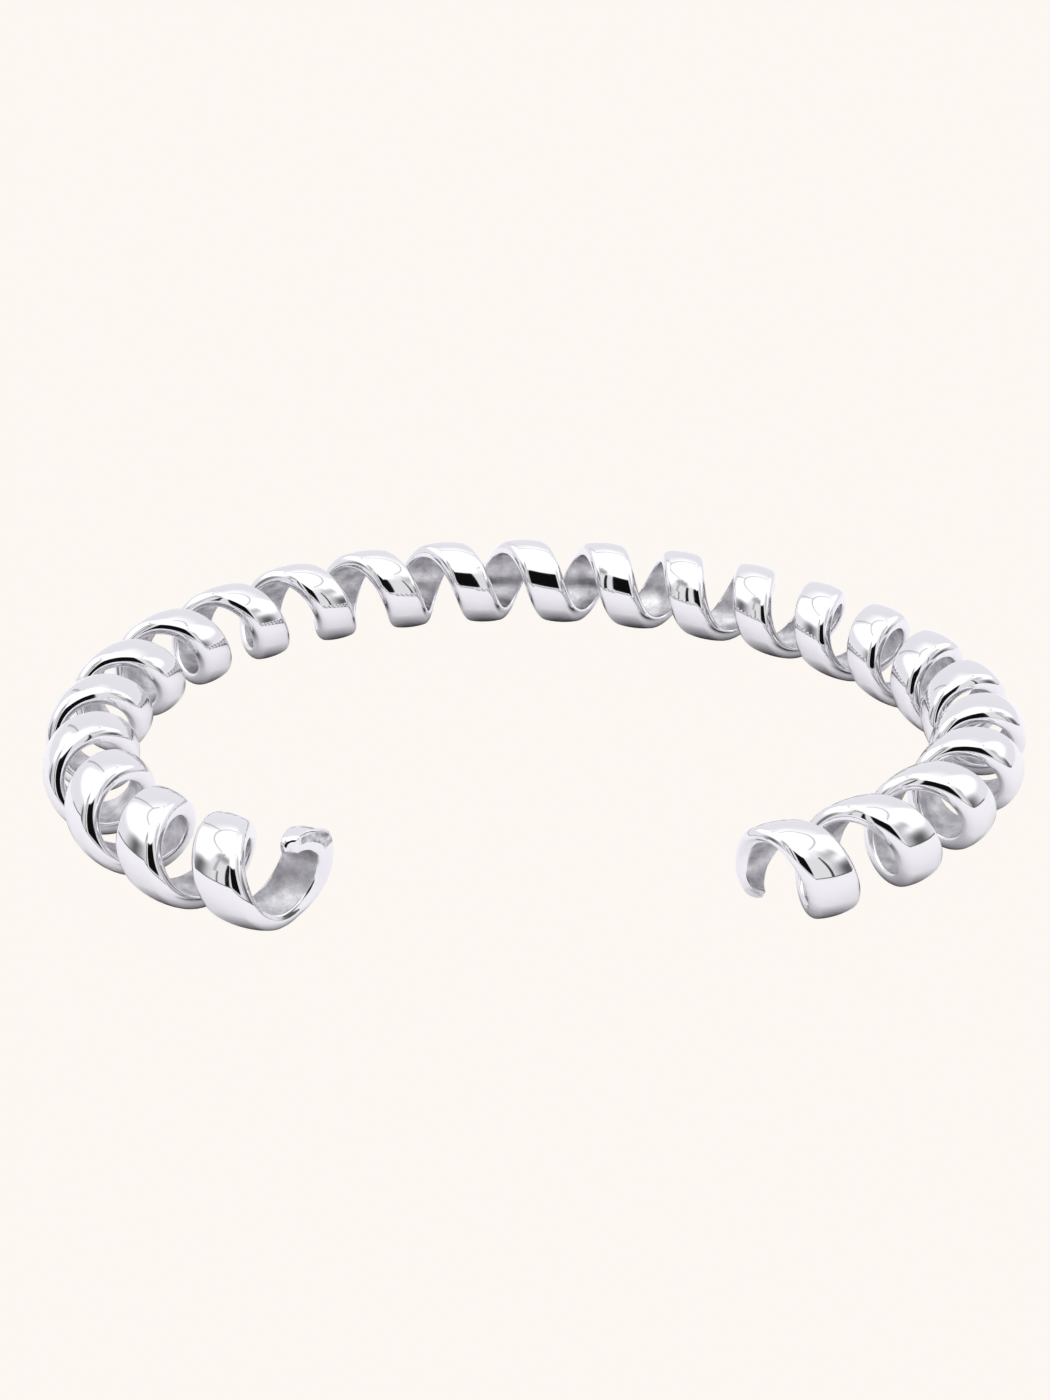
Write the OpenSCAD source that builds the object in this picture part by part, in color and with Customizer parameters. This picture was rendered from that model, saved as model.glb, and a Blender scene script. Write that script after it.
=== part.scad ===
// Spiral bangle: one rounded ribbon wound as an open right-handed coil, bent to an open oval cuff.
// It lies on its side on the plane z = 0, with the gap for the wrist towards -Y.
// The origin is under the middle of the cuff.

/* [Coil] */
// Outside diameter of the coil
coil_d = 6.8; // [6:0.1:7.6]
// Mean distance from one turn to the next, along the cuff
coil_pitch = 6.6; // [6.2:0.1:7]
// Turns from the back of the cuff to the left tip
left_turns = 12.04; // [10:0.01:12.2]
// Turns from the back of the cuff to the right tip
right_turns = 12.39; // [10:0.01:12.5]
// How far right of the back centre the middle turn has its top
middle_turn_x = -1.1; // [-3:0.1:3]

/* [Ribbon] */
// Width of the ribbon, along the cuff
ribbon_w = 3.7; // [3:0.1:4.4]
// Thickness of the ribbon, at the middle of its outer face
ribbon_t = 1.2; // [1:0.1:1.8]
// How far the outer face falls to its edges
crown = 0.3; // [0:0.05:0.4]
// Rounding between the outer face and the ribbon's sides
outer_edge = 0.6; // [0.3:0.05:0.6]
// Chamfer between the sides and the inner face
inner_edge = 0.2; // [0.1:0.05:0.25]

/* [Cuff] */
// Radius of the coil's centre line across the back
back_r = 31.8; // [30:0.1:34]
// Angle that the back arc covers on the right
right_back_angle = 71; // [65:0.1:85]
// Radius of the centre line round the right side
right_side_r = 19.7; // [17:0.1:22]
// Angle of the arc round the right side
right_side_angle = 45; // [40:1:60]
// Radius of the centre line along the right of the front, beside the gap
right_front_r = 32.4; // [28:0.1:50]
// Angle that the back arc covers on the left
left_back_angle = 89.3; // [85:0.1:105]
// Radius of the centre line round the left side
left_side_r = 23.2; // [19:0.1:24]
// Angle of the arc round the left side
left_side_angle = 90; // [60:1:90]
// Radius of the centre line along the left of the front
left_front_r = 33.3; // [28:0.1:50]

/* [Tips] */
// Rounding of the left tip's end
left_nose = 0.5; // [0.1:0.05:0.6]
// Rounding of the right tip's end
right_nose = 0.12; // [0.1:0.02:0.6]
// Share of its thickness that an end keeps
nose_flat = 0.12; // [0.05:0.01:1]
// Turns by which the coil edge reaches further than the middle, at the left end
left_skew = 0.012; // [0:0.001:0.03]
// The same at the right end
right_skew = 0.02; // [0:0.001:0.03]

/* [Hidden] */

// Hand winding opens and closes the coil a little.
// Columns: turn, counted from the back; pitch, as a share of coil_pitch
winding = [
    [-12.1, 0.88], [-8, 1], [-4, 1.05], [0, 1],
    [4, 0.95], [8, 0.89], [11.5, 1.13], [12.5, 0.22]
];
// The ribbon gets narrower towards the left tip. Columns: turn; width, as a share of ribbon_w
widths = [[-12, 0.92], [-8, 1], [12.5, 1]];
// Columns: turn; the coil's radius there, as a share of half of coil_d
girth = [
    [-12, 1], [-11.5, 0.985], [-11, 1], [-10, 0.99], [-9, 1],
    [-7, 0.98], [0, 1.01], [7, 1.02], [11, 1.01], [11.6, 1]
];
// Columns: turn; how far the coil's axis lies above its mean height
lift = [
    [-12, 0.12], [-11.93, 0.25], [-11.85, 0.55], [-11.7, 0.56], [-11.45, 0.15], [-11, 0.02], [-10, -0.18],
    [-9, -0.05], [-7, 0.05], [0, 0], [9, 0.03], [11, 0]
];
// Filing of the tips. Columns: turns from the tip; the ribbon's two edges, towards the free side and towards
// the coil, as shares of half its width; then in mm: the rounding of the free outer edge, how far the free side
// slopes in, how much thicker it is towards the coil's axis, and how much thicker outwards
left_tip = [
    [0, -0.42, 1.08, 0.25, 0.1, 0, 0.15], [0.03, -0.38, 1.08, 0.2, 0.15, 0, 0.25],
    [0.06, -0.15, 1.06, 0.2, 0.25, 0.05, 0.3], [0.1, 0.2, 1.05, 0.2, 0.3, 0.12, 0.3],
    [0.14, 0.52, 1.04, 0.2, 0.4, 0.35, 0.3], [0.17, 0.75, 1.03, 0.2, 0.5, 0.45, 0.24],
    [0.19, 0.88, 1.02, 0.2, 0.58, 0.5, 0.15], [0.22, 0.98, 1, 0.25, 0.62, 0.45, 0.08],
    [0.25, 1.09, 1, 0.3, 0.65, 0.4, 0.03], [0.28, 1.16, 1, 0.3, 0.62, 0.3, 0],
    [0.32, 1.24, 1, 0.35, 0.55, 0.25, 0], [0.37, 1.25, 1, 0.35, 0.45, 0.15, 0],
    [0.42, 1.18, 1, 0.4, 0.35, 0.1, 0], [0.5, 1.02, 1, 0.5, 0.15, 0.05, 0],
    [0.8, 1, 1, 0.6, 0, 0, 0]
];
right_tip = [
    [0, 0.33, 0.2, 0.3, 0.3, 0, 0], [0.04, 0.53, 0.24, 0.4, 0.45, 0, 0],
    [0.1, 0.73, 0.45, 0.4, 0.55, 0, 0], [0.18, 0.9, 0.83, 0.4, 0.6, 0, 0],
    [0.3, 1.1, 0.78, 0.45, 0.55, 0, 0], [0.42, 1.05, 1, 0.5, 0.45, 0, 0],
    [0.6, 1, 1, 0.55, 0.3, 0, 0], [0.9, 1, 1, 0.6, 0, 0, 0]
];
skew_stretch = 0.1;
// Turns from the tips at which the tips' own rings lie
left_tip_rings = [0, 0.004, 0.012, 0.03, 0.06, 0.08, 0.1, 0.14, 0.19, 0.25, 0.32, 0.42];
right_tip_rings = [0, 0.003, 0.007, 0.04, 0.07, 0.1, 0.14, 0.18, 0.24, 0.3, 0.36, 0.42];
ring_points = 12;
rings_per_turn = 16;
coil_r = coil_d / 2;
mid_r = coil_r - ribbon_t / 2;

function total(list) = list * [for (item = list) 1];
function column(table, c) = [for (row = table) [row[0], row[c]]];
function arc_length(r, angle) = r * angle * PI / 180;
function arc_angle(r, len) = len / r * 180 / PI;

// A point of an arc and its heading: 0 at the back, growing towards the front
function on_arc(centre, r, heading) =
    [centre.x + r * sin(heading), centre.y + r * cos(heading), heading];
function next_centre(centre, r, next_r, heading) =
    centre + (r - next_r) * [sin(heading), cos(heading)];

// The centre line of one arm at a distance from the back centre: back arc, side arc, front arc
function arm(distance, back_angle, side_r, side_angle, front_r) =
    let (
        back_end = arc_length(back_r, back_angle),
        side_end = back_end + arc_length(side_r, side_angle),
        front_heading = back_angle + side_angle,
        back_centre = [0, 0],
        side_centre = next_centre(back_centre, back_r, side_r, back_angle),
        front_centre = next_centre(side_centre, side_r, front_r, front_heading)
    )
    distance < back_end ? on_arc(back_centre, back_r, arc_angle(back_r, distance))
    : distance < side_end
        ? on_arc(side_centre, side_r, back_angle + arc_angle(side_r, distance - back_end))
        : on_arc(front_centre, front_r, front_heading + arc_angle(front_r, distance - side_end));

// The whole centre line, with distances to the left counted as negative
function centre_line(distance) =
    distance >= 0 ? arm(distance, right_back_angle, right_side_r, right_side_angle, right_front_r)
    : let (p = arm(-distance, left_back_angle, left_side_r, left_side_angle, left_front_r)) [-p.x, p.y, -p.z];

// Distance along the centre line at a turn: the winding's pitch summed from the back
function pitch_at(turn) = coil_pitch * lookup(turn, winding);
function travel(turn) =
    middle_turn_x + sign(turn) * total([
        for (i = [0 : len(winding) - 2])
            let (
                from = max(winding[i][0], min(0, turn)),
                to = min(winding[i + 1][0], max(0, turn))
            )
            to > from ? (to - from) * (pitch_at(from) + pitch_at(to)) / 2 : 0
    ]);

// The ribbon's section with a tip's filing: x grows towards the free side, y away from the coil's axis
function section(outer, slope, deeper, higher) =
    let (
        x = ribbon_w / 2,
        y = ribbon_t / 2,
        outer_face = [
            for (a = [0, 45, 90]) [x - outer * (1 - cos(a)), y - outer * (1 - sin(a))],
            [x / 3, y],
            [-x / 3, y],
            for (a = [90, 45, 0]) [outer_edge * (1 - cos(a)) - x, y - outer_edge * (1 - sin(a))]
        ]
    )
    [
        for (p = outer_face) [p.x, p.y - (p.x > 0 ? crown - higher : crown) * pow(p.x / x, 2)],
        [-x, inner_edge - y],
        [inner_edge - x, -y],
        [x - inner_edge - slope, -y - deeper],
        [x - slope, inner_edge * (1 - slope) - y - deeper]
    ];

// One ring of the sweep, with its points in the same order on both arms. A whole turn starts at its top
function ring(turn) =
    let (
        left = turn < 0,
        side = left ? -1 : 1,
        tip = left ? left_tip : right_tip,
        from_tip = left ? turn + left_turns : right_turns - turn,
        filing = [for (c = [1 : 6]) lookup(from_tip, column(tip, c))],
        points = section(filing[2], filing[3], filing[4], filing[5]),
        nose = left ? left_nose : right_nose,
        opened = min(from_tip * 2 * PI * mid_r / nose, 1),
        fullness = sqrt(opened * (2 - opened)),
        inset = nose * (1 - fullness),
        half = ribbon_w / 2 * lookup(turn, widths),
        free_edge = filing[0] * half - inset,
        coil_edge = inset - filing[1] * half,
        skew = (left ? left_skew : right_skew) * max(1 - from_tip / skew_stretch, 0),
        distance = travel(turn),
        height = lookup(turn, lift)
    )
    [for (j = [0 : ring_points - 1])
        let (
            p = points[left ? (19 - j) % ring_points : j],
            across = (free_edge + coil_edge) / 2 + p.x * (free_edge - coil_edge) / ribbon_w,
            c = centre_line(distance + side * across),
            up = p.y * (nose_flat + (1 - nose_flat) * fullness),
            rho = coil_r * lookup(turn, girth) - ribbon_t / 2 + up,
            angle = 90 + 360 * (turn - side * skew * p.x * 2 / ribbon_w)
        )
        [
            c.x + rho * cos(angle) * sin(c.z),
            c.y + rho * cos(angle) * cos(c.z),
            rho * sin(angle) + height
        ]
    ];

// The turns at which rings lie: the tips' own, and evenly spaced ones between them
left_tip_end = left_tip_rings[len(left_tip_rings) - 1];
right_tip_end = right_tip_rings[len(right_tip_rings) - 1];
ring_turns = concat(
    [for (t = left_tip_rings) t - left_turns],
    [for (i = [floor((left_tip_end - left_turns) * rings_per_turn) + 1
        : ceil((right_turns - right_tip_end) * rings_per_turn) - 1]) i / rings_per_turn],
    [for (i = [len(right_tip_rings) - 1 : -1 : 0]) right_turns - right_tip_rings[i]]
);

module spiral_band() {
    points = [for (turn = ring_turns) each ring(turn)];
    last = len(ring_turns) - 1;
    low = [min([for (p = points) p.x]), min([for (p = points) p.y]), min([for (p = points) p.z])];
    high = [max([for (p = points) p.x]), max([for (p = points) p.y])];
    walls = [
        for (i = [0 : last - 1], j = [0 : ring_points - 1])
            let (
                a = i * ring_points + j,
                b = i * ring_points + (j + 1) % ring_points
            )
            each [[a, b, b + ring_points], [a, b + ring_points, a + ring_points]]
    ];
    start_cap = [for (j = [ring_points - 1 : -1 : 0]) j];
    end_cap = [for (j = [0 : ring_points - 1]) last * ring_points + j];
    color("gainsboro")
        translate([-(low.x + high.x) / 2, -(low.y + high.y) / 2, -low.z])
            polyhedron(points, concat([start_cap], walls, [end_cap]));
}

spiral_band();
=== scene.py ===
# Spiral bangle lying on its side: one silver ribbon wound as an open coil and bent to an oval cuff.
from math import cos, hypot, pi, radians, sin

import bmesh
import bpy
from mathutils import Matrix, Vector


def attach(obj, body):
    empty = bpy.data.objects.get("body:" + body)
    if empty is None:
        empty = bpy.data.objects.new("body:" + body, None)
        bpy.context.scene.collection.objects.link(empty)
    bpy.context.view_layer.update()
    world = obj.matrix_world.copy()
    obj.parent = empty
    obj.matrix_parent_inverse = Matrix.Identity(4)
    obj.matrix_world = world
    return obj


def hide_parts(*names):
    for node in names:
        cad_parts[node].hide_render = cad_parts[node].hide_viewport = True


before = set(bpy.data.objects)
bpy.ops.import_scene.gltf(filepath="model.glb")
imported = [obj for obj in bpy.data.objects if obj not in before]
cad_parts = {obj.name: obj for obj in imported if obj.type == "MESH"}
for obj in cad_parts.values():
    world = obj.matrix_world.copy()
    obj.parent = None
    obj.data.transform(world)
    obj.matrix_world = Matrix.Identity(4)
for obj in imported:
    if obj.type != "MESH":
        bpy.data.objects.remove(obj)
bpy.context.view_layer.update()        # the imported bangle: one body, root, with one node, spiral_band
mm = 0.001               # settings are in millimetres, the scene is in metres


# The cuff: the oval that the coil's middle follows, an arm of three arcs to each side of the back
cuff = {
    "backRadius": 31.8,
    "right": {"backAngle": 71, "sideRadius": 19.7, "sideAngle": 45, "frontRadius": 32.4},
    "left": {"backAngle": 89.3, "sideRadius": 23.2, "sideAngle": 90, "frontRadius": 33.3},
}


def cuffArm(distance, backAngle, sideRadius, sideAngle, frontRadius):
    # place and heading at a distance from the back; the heading is 0 at the back and grows to the front
    arcs = (
        (cuff["backRadius"], radians(backAngle)),
        (sideRadius, radians(sideAngle)),
        (frontRadius, pi),
    )
    centre, heading, lastRadius = Vector((0, 0)), 0, cuff["backRadius"]
    for radius, angle in arcs:
        centre = centre + (lastRadius - radius) * Vector((sin(heading), cos(heading)))
        lastRadius = radius
        if distance < radius * angle:
            heading += distance / radius
            break
        distance -= radius * angle
        heading += angle
    return centre + radius * Vector((sin(heading), cos(heading))), heading


def cuffLine(distance):
    # distances to the left count as negative, and the left arm is drawn as the mirror of a right one
    if distance >= 0:
        return cuffArm(distance, **cuff["right"])
    place, heading = cuffArm(-distance, **cuff["left"])
    return Vector((-place.x, place.y)), -heading


# The silver band
band = {
    "coilDiameter": 6.8,       # outside
    "pitch": 6.6,              # mean distance from turn to turn
    "leftTurns": 12.04,        # counted from the back of the cuff to the left tip
    "rightTurns": 12.39,
    "middleTurn": -1.1,        # how far right of the back the middle turn has its top
    "width": 3.7,
    "thickness": 1.2,          # at the middle of the polished face
    "crown": 0.3,              # how far that face falls to its edges
    "crownShoulder": 0.2,      # the share of the fall that comes late, near the edges
    "edge": 0.6,               # rounding between the polished face and the ribbon's sides
    "insideEdge": 0.2,         # rounding between the sides and the face towards the coil's axis
    "edgeSegments": 6,
    "insideEdgeSegments": 3,
    "sideCuts": (0.03, 0.06),  # loops on the ribbon's sides, below the outer rounding
    "crownCuts": 7,
    "support": 0.04,           # loops this far from a rounding keep the faces beside it true
    "screwRings": 16,          # rings to a turn as it is screwed, and how often each gap is then cut
    "screwCuts": 4,
    "leftTipCuts": 3,          # more rings where the band is shaped to its tips
    "leftTipStretch": 0.27,    # turns
    "rightTipCuts": 1,
    "rightTipStretch": 0.1,
    # turn, pitch as a share of the mean: hand winding opens and closes the coil a little
    "winding": (
        (-12.1, 0.88), (-8, 1), (-4, 1.05), (0, 1),
        (4, 0.95), (8, 0.89), (11.5, 1.13), (12.5, 0.22),
    ),
    # turn, share of the full width: the ribbon gets narrower towards the left tip
    "widths": ((-12, 0.92), (-8, 1), (12.5, 1)),
    # turn, share of the coil's radius
    "girth": (
        (-12, 1), (-11.5, 0.985), (-11, 1), (-10, 0.99), (-9, 1), (-7, 0.98),
        (0, 1.01), (7, 1.02), (11, 1.01), (11.6, 1),
    ),
    # turn, how far the coil's axis lies above its mean height
    "lift": (
        (-12, 0.12), (-11.93, 0.25), (-11.85, 0.55), (-11.7, 0.56), (-11.45, 0.15), (-11, 0.02),
        (-10, -0.18), (-9, -0.05), (-7, 0.05), (0, 0), (9, 0.03), (11, 0),
    ),
    # turns from the tip; free edge and coil edge, as shares of half the width; then in mm: the rounding
    # of the free outer edge, how far the free side slopes in, how much thicker the free side is towards
    # the coil's axis, and outwards
    "leftTip": (
        (0, -0.42, 1.08, 0.25, 0.1, 0, 0.15), (0.03, -0.38, 1.08, 0.2, 0.15, 0, 0.25),
        (0.06, -0.15, 1.06, 0.2, 0.25, 0.05, 0.3), (0.1, 0.2, 1.05, 0.2, 0.3, 0.12, 0.3),
        (0.14, 0.52, 1.04, 0.2, 0.4, 0.35, 0.3), (0.17, 0.75, 1.03, 0.2, 0.5, 0.45, 0.24),
        (0.19, 0.88, 1.02, 0.2, 0.58, 0.5, 0.15), (0.22, 0.98, 1, 0.25, 0.62, 0.45, 0.08),
        (0.25, 1.09, 1, 0.3, 0.65, 0.4, 0.03), (0.28, 1.16, 1, 0.3, 0.62, 0.3, 0),
        (0.32, 1.24, 1, 0.35, 0.55, 0.25, 0), (0.37, 1.25, 1, 0.35, 0.45, 0.15, 0),
        (0.42, 1.18, 1, 0.4, 0.35, 0.1, 0), (0.5, 1.02, 1, 0.5, 0.15, 0.05, 0),
        (0.8, 1, 1, 0.6, 0, 0, 0),
    ),
    "rightTip": (
        (0, 0.33, 0.2, 0.3, 0.3, 0, 0), (0.04, 0.53, 0.24, 0.4, 0.45, 0, 0),
        (0.1, 0.73, 0.45, 0.4, 0.55, 0, 0), (0.18, 0.9, 0.83, 0.4, 0.6, 0, 0),
        (0.3, 1.1, 0.78, 0.45, 0.55, 0, 0), (0.42, 1.05, 1, 0.5, 0.45, 0, 0),
        (0.6, 1, 1, 0.55, 0.3, 0, 0), (0.9, 1, 1, 0.6, 0, 0, 0),
    ),
    "leftNose": 0.5,           # rounding of the tip's end
    "rightNose": 0.12,
    "leftSkew": 0.012,         # turns that the coil edge reaches further at the end, and the free edge less
    "rightSkew": 0.02,
    "skewStretch": 0.1,
    "noseFlat": 0.12,          # the share of the thickness that the end keeps
    "grindDish": 0.05,         # how deep the ground corner of the left tip is hollowed
    "grindStretch": (0.035, 0.21),  # turns from the tip
    "grindFoot": -0.37,        # below this the cut's side is polished
    "alike": 0.01,             # places nearer than this count as the same
}
coilRadius = band["coilDiameter"] / 2
midRadius = coilRadius - band["thickness"] / 2


def fromTable(table, at, column=1):
    # the value of a column, on a straight line between the rows that lie around it
    for row, nextRow in zip(table, table[1:]):
        if at < nextRow[0]:
            share = max(at - row[0], 0) / (nextRow[0] - row[0])
            return row[column] + share * (nextRow[column] - row[column])
    return table[-1][column]


def windingSum(start, end):
    # how far the winding moves along the cuff between two turns, the start below the end
    total = 0
    for row, nextRow in zip(band["winding"], band["winding"][1:]):
        low, high = max(row[0], start), min(nextRow[0], end)
        if high > low:
            shares = fromTable(band["winding"], low) + fromTable(band["winding"], high)
            total += (high - low) * band["pitch"] * shares / 2
    return total


def travel(turn):
    return band["middleTurn"] + (windingSum(0, turn) if turn > 0 else -windingSum(turn, 0))


def cutOutline(bm, side, axis, places):
    # a vertex at each place along an axis of the section, on the edges that face one side
    for place in places:
        plane = Vector((0, 0, 0))
        plane[axis] = 1
        edges = []
        for e in bm.edges:
            one, other = (side.dot(v.co) for v in e.verts)
            if one + other > 0 and abs(one - other) < band["alike"]:
                edges.append(e)
        bmesh.ops.bisect_plane(
            bm, geom=edges + list(dict.fromkeys(v for e in edges for v in e.verts)),
            plane_co=plane * place, plane_no=plane,
        )


def ribbonSection(bm):
    # the ribbon cut across: x is along the cuff and y is away from the coil's axis
    halfWidth, halfThickness = band["width"] / 2, band["thickness"] / 2
    bmesh.ops.create_grid(bm, x_segments=1, y_segments=1, size=1)
    bmesh.ops.scale(bm, vec=(halfWidth, halfThickness, 1), verts=bm.verts)
    roundings = (1, "edge", "edgeSegments"), (-1, "insideEdge", "insideEdgeSegments")
    for side, rounding, segments in roundings:
        corners = [v for v in bm.verts if v.co.y * side > halfThickness - band["alike"]]
        bmesh.ops.bevel(
            bm, geom=corners, offset=band[rounding], offset_type="OFFSET", profile=0.5,
            segments=band[segments], affect="VERTICES", material=-1,
        )
    outer = halfWidth - band["edge"] - band["support"]
    inner = halfWidth - band["insideEdge"] - band["support"]
    steps = band["crownCuts"] - 1
    crownPlaces = [outer * (2 * i / steps - 1) for i in range(steps + 1)]
    cutOutline(bm, Vector((0, 1, 0)), 0, crownPlaces)
    cutOutline(bm, Vector((0, -1, 0)), 0, (-inner, 0, inner))
    sidePlaces = [halfThickness - band["crown"] - band["edge"] - cut for cut in band["sideCuts"]]
    for side in (1, -1):
        cutOutline(bm, Vector((side, 0, 0)), 1, sidePlaces)
    across = bm.verts.layers.float.new("across")
    up = bm.verts.layers.float.new("up")
    for v in bm.verts:
        if v.co.y > halfThickness - band["edge"] - band["alike"]:
            share = (v.co.x / halfWidth) ** 2
            v.co.y -= band["crown"] * share * (1 + band["crownShoulder"] * (share - 1))
        v[across] = v.co.x
        v[up] = v.co.y
    return across, up


def screwCoil(bm):
    # a straight coil of the mean pitch, from the left tip to the right one
    turns = band["leftTurns"] + band["rightTurns"]
    rings = round(turns * band["screwRings"])
    start = Matrix.Translation((-band["leftTurns"] * band["pitch"], 0, 0))
    start @= Matrix.Rotation(-band["leftTurns"] * 2 * pi, 4, "X")
    start @= Matrix.Translation((0, 0, midRadius)) @ Matrix.Rotation(pi / 2, 4, "X")
    bmesh.ops.transform(bm, matrix=start, space=Matrix.Identity(4), verts=bm.verts)
    bmesh.ops.spin(
        bm, geom=bm.faces[:] + bm.edges[:] + bm.verts[:], cent=(0, 0, 0), axis=(1, 0, 0),
        angle=turns * 2 * pi, steps=rings, dvec=(band["pitch"] * turns / rings, 0, 0),
        use_merge=False,
    )


def turnOf(v, across):
    return (v.co.x - v[across]) / band["pitch"]


def cutRings(bm, across, cuts, start, end):
    # more rings in a stretch of the coil, counted in turns
    least = band["alike"] / band["screwRings"] / (band["screwCuts"] + 1)
    lengthwise = []
    for e in bm.edges:
        low, high = sorted(turnOf(v, across) for v in e.verts)
        if high - low > least and low > start and high < end:
            lengthwise.append(e)
    bmesh.ops.subdivide_edges(bm, edges=lengthwise, cuts=cuts, use_grid_fill=True)


def shapeSection(x, y, outer, slope, deeper, higher, dish):
    # a point of the section, x growing towards the free side, as a tip's filing has left it
    halfWidth, halfThickness = band["width"] / 2, band["thickness"] / 2
    fromSide, sideTop = halfWidth - x, halfThickness - band["crown"]
    outerEnd, innerEnd = sideTop - band["edge"], band["insideEdge"] - halfThickness
    if y < innerEnd + band["alike"]:
        sunk = deeper * (x / halfWidth + 1) / 2
        if fromSide < band["insideEdge"] + band["support"] + band["alike"]:
            return x - slope, (y + halfThickness) * (1 - slope) - halfThickness - sunk
        return x, y - sunk
    if y > outerEnd - band["alike"]:
        if fromSide < band["edge"] + band["support"] + band["alike"]:
            share = outer / band["edge"]
            x, y = halfWidth - fromSide * share, sideTop - (sideTop - y) * share
        return x, y + higher * (max(x, 0) / halfWidth) ** 2
    if x < 0:
        return x, y
    # the free side: its upper half is hollowed where the corner is ground
    share = (outerEnd - y) / (outerEnd - innerEnd)
    if share < 0.5:
        fromSide = dish
    top = sideTop - outer + higher
    foot = band["insideEdge"] * (1 - slope) - halfThickness - deeper
    return halfWidth - fromSide - slope * share, top * (1 - share) + foot * share


def bendToCuff(bm, across, up):
    for v in bm.verts:
        turn = turnOf(v, across)
        left = turn < 0
        tip = band["leftTip"] if left else band["rightTip"]
        nose = band["leftNose"] if left else band["rightNose"]
        skew = band["leftSkew"] if left else band["rightSkew"]
        fromTip = turn + band["leftTurns"] if left else band["rightTurns"] - turn
        freeEdge, coilEdge, *filing = (fromTable(tip, fromTip, c) for c in range(1, 7))
        freeWay = -1 if left else 1
        x, y = v[across] * freeWay, v[up]
        start, end = band["grindStretch"]
        ground = left and start < fromTip < end
        x, y = shapeSection(x, y, *filing, band["grindDish"] if ground else 0)
        opened = min(max(fromTip, 0) * 2 * pi * midRadius / nose, 1)
        fullness = (opened * (2 - opened)) ** 0.5
        half = band["width"] / 2 * fromTable(band["widths"], turn)
        inset = nose * (1 - fullness)
        high = freeEdge * half - inset
        low = -coilEdge * half + inset
        distance = travel(turn) + freeWay * ((high + low) / 2 + x * (high - low) / band["width"])
        y *= band["noseFlat"] + (1 - band["noseFlat"]) * fullness
        rho = coilRadius * fromTable(band["girth"], turn) - band["thickness"] / 2 + y
        place, heading = cuffLine(distance)
        skewed = skew * x / band["width"] * 2 * max(1 - fromTip / band["skewStretch"], 0)
        angle = pi / 2 + 2 * pi * (turn - freeWay * skewed)
        out = rho * cos(angle)
        height = rho * sin(angle) + fromTable(band["lift"], turn)
        v.co = (place.x + out * sin(heading), place.y + out * cos(heading), height)


def finishOf(f, across, up, turns):
    # the number of a face's material: polished, as cast, or ground
    if all(v[up] < band["alike"] - band["thickness"] / 2 for v in f.verts):
        return 1
    onSide = all(v[across] < band["alike"] - band["width"] / 2 for v in f.verts)
    onSide = onSide and min(v[up] for v in f.verts) > band["grindFoot"]
    start, end = band["grindStretch"]
    return 2 if onSide and start < min(turns) and max(turns) < end else 0


def makeBand(polished, cast, ground):
    bm = bmesh.new()
    across, up = ribbonSection(bm)
    print("ribbon section drawn,", len(bm.verts), "points")
    screwCoil(bm)
    first, last = -band["leftTurns"] - 1, band["rightTurns"] + 1
    cutRings(bm, across, band["screwCuts"], first, last)
    cutRings(bm, across, band["leftTipCuts"], first, band["leftTipStretch"] - band["leftTurns"])
    cutRings(bm, across, band["rightTipCuts"], band["rightTurns"] - band["rightTipStretch"], last)
    print("coil screwed,", len(bm.faces), "faces")
    for f in bm.faces:
        f.smooth = True
        turns = [turnOf(v, across) + band["leftTurns"] for v in f.verts]
        f.material_index = finishOf(f, across, up, turns)
    bendToCuff(bm, across, up)
    low = [min(v.co[i] for v in bm.verts) for i in range(3)]
    high = [max(v.co[i] for v in bm.verts) for i in range(3)]
    bmesh.ops.translate(
        bm, vec=(-(low[0] + high[0]) / 2, -(low[1] + high[1]) / 2, -low[2]), verts=bm.verts
    )
    bmesh.ops.scale(bm, vec=(mm, mm, mm), verts=bm.verts)
    bmesh.ops.recalc_face_normals(bm, faces=bm.faces)
    mesh = bpy.data.meshes.new("spiralBand")
    bm.to_mesh(mesh)
    print("coil bent to the cuff, closed:", all(e.is_manifold for e in bm.edges))
    bm.free()
    for material in (polished, cast, ground):
        mesh.materials.append(material)
    piece = bpy.data.objects.new("spiralBand", mesh)
    bpy.context.scene.collection.objects.link(piece)
    return piece


# The finishes
def linear(code):
    # an sRGB hex colour as the shaders want it
    channels = [int(code[i:i + 2], 16) / 255 for i in (1, 3, 5)]
    return tuple(c / 12.92 if c <= 0.04045 else ((c + 0.055) / 1.055) ** 2.4 for c in channels) + (1,)


def addNode(tree, kind, inputs={}, **settings):
    # an input is a value, or another node's output to link
    node = tree.nodes.new(kind)
    for name, value in settings.items():
        setattr(node, name, value)
    for name, value in inputs.items():
        if isinstance(value, bpy.types.NodeSocket):
            tree.links.new(value, node.inputs[name])
        else:
            node.inputs[name].default_value = value
    return node


def addRamp(tree, pattern, dark, light):
    # colours over the middle of a noise's range, where most of its values lie
    ramp = addNode(tree, "ShaderNodeValToRGB", {"Fac": pattern})
    for element, position, colour in zip(ramp.color_ramp.elements, (0.35, 0.65), (dark, light)):
        element.position = position
        element.color = linear(colour)
    return ramp


def newMaterial(name):
    material = bpy.data.materials.new(name)
    material.use_nodes = True
    material.node_tree.nodes.clear()
    return material, material.node_tree


mirrorFinish = {
    "colour": "#EEEDF0",
    "roughness": 0.055,
    "ripple": 2.2,             # from crest to crest of the waves that hand buffing leaves
    "rippleHeight": 0.003,
}


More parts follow.
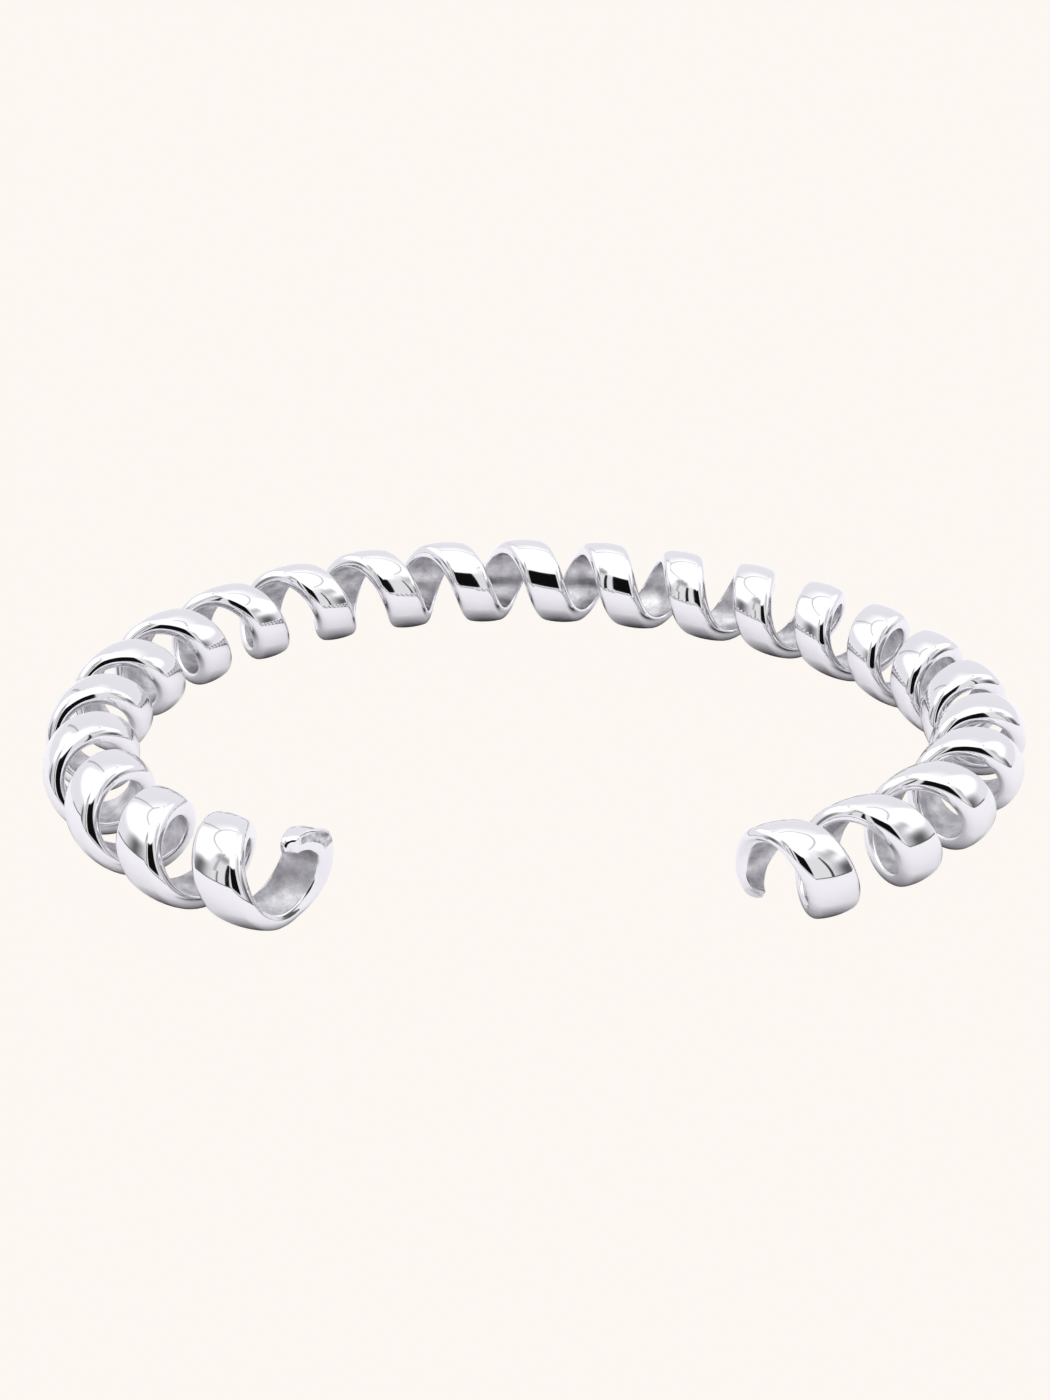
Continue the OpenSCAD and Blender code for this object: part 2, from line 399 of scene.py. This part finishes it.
def polishedSterlingSilver():
    # sterling silver buffed to a mirror: crisp dark and white reflections that wander a little,
    # as the buffing has left faint waves
    material, tree = newMaterial("polishedSterlingSilver")
    place = addNode(tree, "ShaderNodeTexCoord").outputs["Object"]
    ripple = addNode(tree, "ShaderNodeTexNoise", {
        "Vector": place, "Scale": 1 / (mirrorFinish["ripple"] * mm), "Detail": 1,
    })
    bump = addNode(tree, "ShaderNodeBump", {
        "Height": ripple.outputs["Fac"], "Distance": mirrorFinish["rippleHeight"] * mm, "Strength": 1,
    })
    shader = addNode(tree, "ShaderNodeBsdfPrincipled", {
        "Base Color": linear(mirrorFinish["colour"]), "Metallic": 1,
        "Roughness": mirrorFinish["roughness"], "Normal": bump.outputs["Normal"],
    })
    addNode(tree, "ShaderNodeOutputMaterial", {"Surface": shader.outputs["BSDF"]})
    return material


castFinish = {
    "light": "#FFFEFF",
    "dark": "#BFBEC4",
    "roughness": 0.31,
    "blotch": 1.3,             # from one duller patch to the next
    "grain": 0.09,             # the mould's sand, drawn about twice as coarse as it is so that it shows
    "grainHeight": 0.018,
}


def asCastSterlingSilver():
    # sterling silver as it leaves the mould: grey, blotchy, with a fine sparkling grain
    material, tree = newMaterial("asCastSterlingSilver")
    place = addNode(tree, "ShaderNodeTexCoord").outputs["Object"]
    blotch = addNode(tree, "ShaderNodeTexNoise", {
        "Vector": place, "Scale": 1 / (castFinish["blotch"] * mm), "Detail": 5, "Roughness": 0.6,
    })
    grain = addNode(tree, "ShaderNodeTexNoise", {
        "Vector": place, "Scale": 1 / (castFinish["grain"] * mm), "Detail": 2,
    })
    bump = addNode(tree, "ShaderNodeBump", {
        "Height": grain.outputs["Fac"], "Distance": castFinish["grainHeight"] * mm, "Strength": 1,
    })
    ramp = addRamp(tree, blotch.outputs["Fac"], castFinish["dark"], castFinish["light"])
    shader = addNode(tree, "ShaderNodeBsdfPrincipled", {
        "Base Color": ramp.outputs["Color"], "Metallic": 1,
        "Roughness": castFinish["roughness"], "Normal": bump.outputs["Normal"],
    })
    addNode(tree, "ShaderNodeOutputMaterial", {"Surface": shader.outputs["BSDF"]})
    return material


grindFinish = {
    "light": "#DCDBDF",
    "dark": "#84838A",
    "roughness": 0.3,
    "smear": 0.5,              # between the darker and lighter smears
    "scratch": 0.12,           # between the file's scratches, drawn coarser so that they show
    "scratchHeight": 0.008,
}


def filedSterlingSilver():
    # sterling silver as a fine file leaves it: a satin grey, smeared, with faint scratches
    material, tree = newMaterial("filedSterlingSilver")
    place = addNode(tree, "ShaderNodeTexCoord").outputs["Object"]
    smear = addNode(tree, "ShaderNodeTexNoise", {
        "Vector": place, "Scale": 1 / (grindFinish["smear"] * mm), "Detail": 2,
    })
    ramp = addRamp(tree, smear.outputs["Fac"], grindFinish["dark"], grindFinish["light"])
    scratches = addNode(tree, "ShaderNodeTexNoise", {
        "Vector": place, "Scale": 1 / (grindFinish["scratch"] * mm), "Detail": 2,
    })
    bump = addNode(tree, "ShaderNodeBump", {
        "Height": scratches.outputs["Fac"], "Distance": grindFinish["scratchHeight"] * mm, "Strength": 1,
    })
    shader = addNode(tree, "ShaderNodeBsdfPrincipled", {
        "Base Color": ramp.outputs["Color"], "Metallic": 1,
        "Roughness": grindFinish["roughness"], "Normal": bump.outputs["Normal"],
    })
    addNode(tree, "ShaderNodeOutputMaterial", {"Surface": shader.outputs["BSDF"]})
    return material


spiralBand = makeBand(polishedSterlingSilver(), asCastSterlingSilver(), filedSterlingSilver())
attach(spiralBand, "root")
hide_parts("spiral_band")


# The studio: a pale table, and what the silver mirrors of the room
studio = {
    "paper": "#FFFAF4",        # the table's cover as the camera sees it, almost without shadows
    "paperShade": 0.12,        # the share of its light that shadows can take away
    "backdrop": "#FCF8F2",     # the round wall behind, the same as the lit cover
    "backdropRadius": 1400,
    "backdropHeight": 1600,
    "backdropSides": 96,
    "table": "#F4F3F5",        # the table as the silver mirrors it
    "paintedShadeReach": 2,           # painted shade: the table's colour is darkened by ambient occlusion as far as this under the turns
    "tableSize": 3000,
    "air": "#F2F2F6",
    "distance": 500,           # of the nearest softbox
    "softboxStep": 10,         # each further softbox stands this much farther out
    "flagStep": 5,             # and each flag this much nearer
    "cardCuts": (60, 40),
    # name: degrees round from the camera's side towards +X, degrees up, brightness, and the radius of the
    # corners and the width of the soft rim in degrees
    "softboxes": {
        "softboxAbove": ((-205, 205), (38, 115), 1.27, 26, 26),
        "softboxFront": ((-42, 54), (42, 74), 1.27, 8, 8),
        "softboxLeft": ((-142, -60), (18, 62), 1.5, 14, 13),
        "softboxRight": ((68, 136), (13, 62), 1.5, 14, 13),
        "softboxFarLeft": ((-62, -25), (46, 62), 1.6, 6, 5),
        "fillLeft": ((-60, -26), (-2, 46), 0.85, 1, 1),
        "fillRight": ((28, 70), (-2, 40), 0.85, 4, 4),
    },
    # the dark and grey cards that the silver mirrors; the seams are the gaps between the softboxes
    "flags": {
        "flagCamera": ((-26, 33), (4, 46), 0.005, 5, 2),
        "flagLeft": ((-40, -34), (-2, 42), 0.005, 1.5, 1),
        "flagFarLeft": ((-52, -48), (-4, 22), 0.15, 2, 2),
        "flagLeftLow": ((-96, -54), (-18, 36), 0.15, 21, 21),
        "flagLeftHigh": ((-68, -32), (36, 60), 0.4, 12, 11),
        "flagRight": ((57, 61.5), (-4, 40), 0.005, 1.5, 1.5),
        "flagRightLow": ((56, 108), (-20, 33), 0.12, 24, 24),
        "flagRightHigh": ((56, 98), (22, 52), 0.6, 15, 15),
        "seamBack": ((60, 300), (55, 58.5), 0.6, 1.7, 1.7),
        "seamLeft": ((-57, -51), (18, 58), 0.5, 2, 2),
        "seamFarLeft": ((-147, -143), (14, 57), 0.5, 1.5, 1.5),
        "tableEdge": ((-110, 110), (-2, 2.5), 0.12, 1.5, 1.5),
    },
}


def cardMaterial(name, brightness):
    # an even glow; the rim fades with the attribute that the card's mesh holds
    material, tree = newMaterial(name)
    cover = addNode(tree, "ShaderNodeAttribute", attribute_name="cover")
    glow = addNode(tree, "ShaderNodeEmission", {"Color": linear("#FFFFFF"), "Strength": brightness})
    clear = addNode(tree, "ShaderNodeBsdfTransparent")
    mixed = addNode(tree, "ShaderNodeMixShader", {"Fac": cover.outputs["Fac"]})
    tree.links.new(clear.outputs[0], mixed.inputs[1])
    tree.links.new(glow.outputs[0], mixed.inputs[2])
    addNode(tree, "ShaderNodeOutputMaterial", {"Surface": mixed.outputs[0]})
    return material


def makeCard(name, around, upwards, brightness, corner, rim, distance):
    bm = bmesh.new()
    cutsAround, cutsUp = studio["cardCuts"]
    bmesh.ops.create_grid(bm, x_segments=cutsAround, y_segments=cutsUp, size=0.5)
    cover = bm.verts.layers.float.new("cover")
    for v in bm.verts:
        side, height = v.co.x + 0.5, v.co.y + 0.5
        fromSide = min(side, 1 - side) * (around[1] - around[0])
        fromEnd = min(height, 1 - height) * (upwards[1] - upwards[0])
        inset = corner - hypot(max(corner - fromSide, 0), max(corner - fromEnd, 0))
        share = min(max(inset / rim, 0), 1)
        v[cover] = share * share * (3 - 2 * share)
        azimuth = radians(around[0] + side * (around[1] - around[0]))
        elevation = radians(upwards[0] + height * (upwards[1] - upwards[0]))
        v.co = distance * mm * Vector((
            sin(azimuth) * cos(elevation), -cos(azimuth) * cos(elevation), sin(elevation)
        ))
    mesh = bpy.data.meshes.new(name)
    bm.to_mesh(mesh)
    bm.free()
    mesh.materials.append(cardMaterial(name, brightness))
    card = bpy.data.objects.new(name, mesh)
    bpy.context.scene.collection.objects.link(card)
    card.visible_camera = False
    return card


def makeGround(name, colour, glow=0, paintedShadeReach=0):
    # a wide plane; glow is the share of its light that is its own, and within the given reach of what lies
    #  on it its colour is darkened by ambient occlusion, a painted shade
    bm = bmesh.new()
    bmesh.ops.create_grid(bm, x_segments=1, y_segments=1, size=studio["tableSize"] / 2 * mm)
    mesh = bpy.data.meshes.new(name)
    bm.to_mesh(mesh)
    bm.free()
    material, tree = newMaterial(name + "Paper")
    matt = addNode(tree, "ShaderNodeBsdfDiffuse", {"Color": linear(colour)})
    if paintedShadeReach:
        # painted shade: ambient occlusion darkens the table's colour under the turns, where the silver
        # mirrors it
        paintedShade = addNode(tree, "ShaderNodeAmbientOcclusion", {
            "Color": linear(colour), "Distance": paintedShadeReach * mm,
        })
        tree.links.new(paintedShade.outputs["Color"], matt.inputs["Color"])
    bright = addNode(tree, "ShaderNodeEmission", {"Color": linear(colour)})
    mixed = addNode(tree, "ShaderNodeMixShader", {"Fac": glow})
    tree.links.new(matt.outputs[0], mixed.inputs[1])
    tree.links.new(bright.outputs[0], mixed.inputs[2])
    addNode(tree, "ShaderNodeOutputMaterial", {"Surface": mixed.outputs[0]})
    mesh.materials.append(material)
    ground = bpy.data.objects.new(name, mesh)
    bpy.context.scene.collection.objects.link(ground)
    return ground


def makeBackdrop():
    # a round wall, for the camera only, when it looks along the table
    bm = bmesh.new()
    radius = studio["backdropRadius"] * mm
    bmesh.ops.create_cone(
        bm, segments=studio["backdropSides"], radius1=radius, radius2=radius,
        depth=studio["backdropHeight"] * mm, cap_ends=False,
    )
    mesh = bpy.data.meshes.new("backdrop")
    bm.to_mesh(mesh)
    bm.free()
    material, tree = newMaterial("backdropPaper")
    bright = addNode(tree, "ShaderNodeEmission", {"Color": linear(studio["backdrop"])})
    addNode(tree, "ShaderNodeOutputMaterial", {"Surface": bright.outputs[0]})
    mesh.materials.append(material)
    backdrop = bpy.data.objects.new("backdrop", mesh)
    bpy.context.scene.collection.objects.link(backdrop)
    backdrop.visible_glossy = False
    backdrop.visible_diffuse = False
    backdrop.visible_shadow = False


def makeStudio():
    makeBackdrop()
    table = makeGround("table", studio["table"], paintedShadeReach=studio["paintedShadeReach"])
    table.visible_camera = False
    cloth = makeGround("tableCover", studio["paper"], glow=1 - studio["paperShade"])
    cloth.visible_glossy = False
    cloth.visible_diffuse = False
    cloth.visible_shadow = False
    for number, (name, card) in enumerate(studio["softboxes"].items()):
        makeCard(name, *card, studio["distance"] + studio["softboxStep"] * number)
    for number, (name, card) in enumerate(studio["flags"].items()):
        flag = makeCard(name, *card, studio["distance"] - studio["flagStep"] * (number + 2))
        flag.visible_diffuse = False
        flag.visible_shadow = False
    world = bpy.data.worlds.new("air")
    bpy.context.scene.world = world
    world.use_nodes = True
    world.node_tree.nodes["Background"].inputs["Color"].default_value = linear(studio["air"])
    bpy.context.scene.view_settings.view_transform = "Standard"


makeStudio()


# The camera, at the photograph's angle
view = {
    "place": (-3.08, -147.27, 69.23),
    "aim": (-1.14, 1.43, 3.5),
    "roll": 1.46,              # degrees
    "lens": 56.74,
    "sensor": 36,              # along the picture's height
    "nearest": 1,
    "farthest": 10000,
}


def makeCamera():
    camera = bpy.data.objects.new("camera", bpy.data.cameras.new("camera"))
    bpy.context.scene.collection.objects.link(camera)
    place, aim = Vector(view["place"]) * mm, Vector(view["aim"]) * mm
    turned = (aim - place).to_track_quat("-Z", "Y").to_matrix()
    turned @= Matrix.Rotation(radians(view["roll"]), 3, "Z")
    camera.matrix_world = Matrix.Translation(place) @ turned.to_4x4()
    camera.data.lens = view["lens"]
    camera.data.sensor_width = view["sensor"]
    camera.data.clip_start = view["nearest"] * mm
    camera.data.clip_end = view["farthest"] * mm
    bpy.context.scene.camera = camera


makeCamera()
print("studio and camera set")
